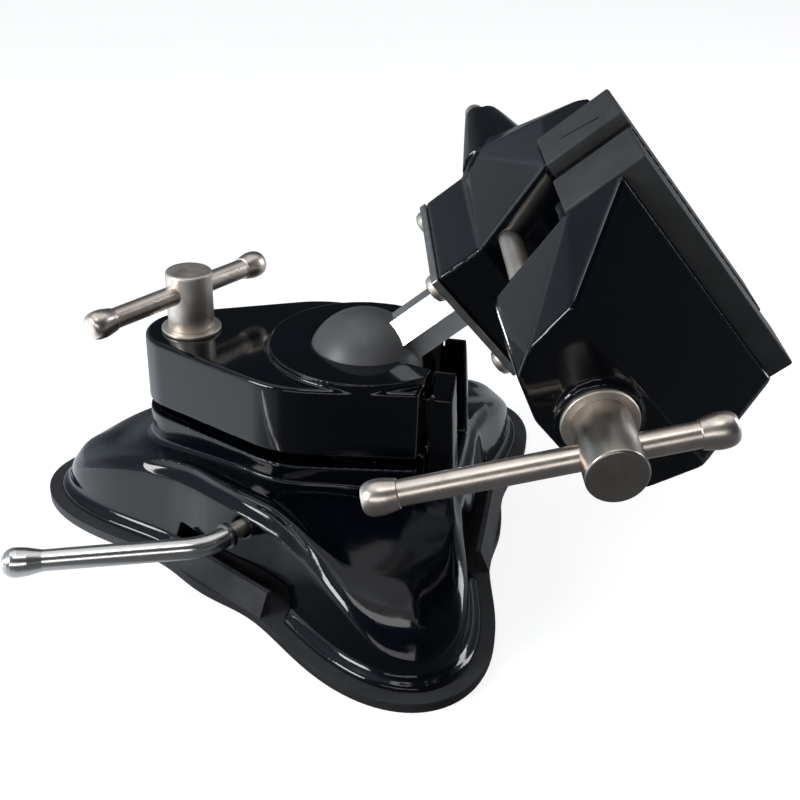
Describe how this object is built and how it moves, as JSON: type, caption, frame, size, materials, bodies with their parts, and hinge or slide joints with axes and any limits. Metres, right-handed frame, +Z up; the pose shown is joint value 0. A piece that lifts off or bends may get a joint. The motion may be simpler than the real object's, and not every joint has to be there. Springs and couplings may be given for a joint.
{
  "type": "suction base vise",
  "caption": "Small bench vise with a ball swivel head, two guide rods and sliding T-bars on a three-lobed hollow base held down by a lever-operated suction pad.",
  "frame": {"origin": "middle of the suction pad's flat underside", "axes": "+Z up, +X towards the open side of the ball clamp where the stem comes out, -X towards the clamp screw"},
  "size_m": [0.2187, 0.1863, 0.1466],
  "materials": {
    "enamel": "gloss",
    "rubber": "matte",
    "nickel": "polished",
    "chrome": "polished",
    "zinc": "satin",
    "polymer": "satin",
    "cover": "matte",
    "dark_steel": "satin"
  },
  "bodies": {
    "base": {"base_casting": "enamel", "suction_disc": "rubber"},
    "pad_lift": {"disc_plate": "zinc", "lift_yoke": "dark_steel"},
    "lever": {"lever_shaft": "nickel", "shaft_clip": "dark_steel", "lever_collar": "dark_steel", "suction_lever": "chrome"},
    "clamp": {"upper_clamp": "enamel", "hinge_pins": "dark_steel"},
    "washer": {"clamp_washer": "nickel"},
    "screw": {"clamp_screw": "nickel"},
    "t_bar": {"clamp_bar": "nickel", "clamp_bar_ends": "nickel"},
    "ball": {"swivel_ball": "polymer"},
    "stem": {"ball_stem": "nickel"},
    "head": {"head_plate": "zinc", "plate_screws": "nickel", "stem_screw": "dark_steel", "fixed_jaw": "enamel", "fixed_jaw_cover": "cover"},
    "slide_jaw": {"moving_jaw": "enamel", "moving_jaw_cover": "cover", "guide_rods": "chrome"},
    "spindle_body": {"spindle": "nickel", "spindle_ring": "dark_steel", "spindle_washer": "nickel"},
    "spindle_t_bar": {"spindle_bar": "nickel", "spindle_bar_ends": "nickel"}
  },
  "joints": [
    {"name": "lever_turn", "type": "hinge", "parent": "base", "child": "lever", "pos_m": [0.00693, -0.004, 0.0219], "axis": [-0.5, -0.866, 0], "range_deg": [-180, 0]},
    {"name": "pad_lift", "type": "slide", "parent": "base", "child": "pad_lift", "axis": [0, 0, 1], "range_m": [0, 0.004]},
    {"name": "clamp_open", "type": "hinge", "parent": "base", "child": "clamp", "pos_m": [0.027, 0, 0.051], "axis": [0, 1, 0], "range_deg": [0, 1.75]},
    {"name": "washer_rise", "type": "slide", "parent": "base", "child": "washer", "axis": [0, 0, 1], "range_m": [0, 0.0025]},
    {"name": "clamp_screw_turn", "type": "hinge", "parent": "washer", "child": "screw", "pos_m": [-0.0431, 0, 0.07], "axis": [0, 0, 1], "range_deg": [0, 720]},
    {"name": "t_bar_slide", "type": "slide", "parent": "screw", "child": "t_bar", "axis": [0.475, 0.88, 0], "range_m": [-0.0148, 0.022]},
    {"name": "ball_turn", "type": "hinge", "parent": "base", "child": "ball", "pos_m": [0.01058, 0, 0.05557], "axis": [0, 0, 1], "range_deg": [-16, 0]},
    {"name": "stem_tilt", "type": "hinge", "parent": "ball", "child": "stem", "pos_m": [0.01058, 0, 0.05557], "axis": [-0.1435, 0.9897, 0], "range_deg": [-50, 0]},
    {"name": "head_spin", "type": "hinge", "parent": "stem", "child": "head", "pos_m": [0.01058, 0, 0.05557], "axis": [0.7592, 0.1101, 0.6415], "range_deg": [-45, 30]},
    {"name": "jaw_slide", "type": "slide", "parent": "head", "child": "slide_jaw", "axis": [0.228, -0.9681, -0.1037], "range_m": [-0.009, 0.045]},
    {"name": "spindle_turn", "type": "hinge", "parent": "slide_jaw", "child": "spindle_body", "pos_m": [0.08151, -0.08783, 0.08646], "axis": [0.228, -0.9681, -0.1037], "range_deg": [-1620, 8100]},
    {"name": "spindle_bar_slide", "type": "slide", "parent": "spindle_body", "child": "spindle_t_bar", "axis": [0.9509, 0.1985, 0.2373], "range_m": [-0.0122, 0.039]}
  ],
  "couplings": [
    {"joint": "lever_turn", "follows": "pad_lift", "rad_per_m": -785.4},
    {"joint": "clamp_screw_turn", "follows": "clamp_open", "ratio": 411.43},
    {"joint": "washer_rise", "follows": "clamp_open", "m_per_rad": 0.081851},
    {"joint": "spindle_turn", "follows": "jaw_slide", "rad_per_m": 3141.6}
  ]
}
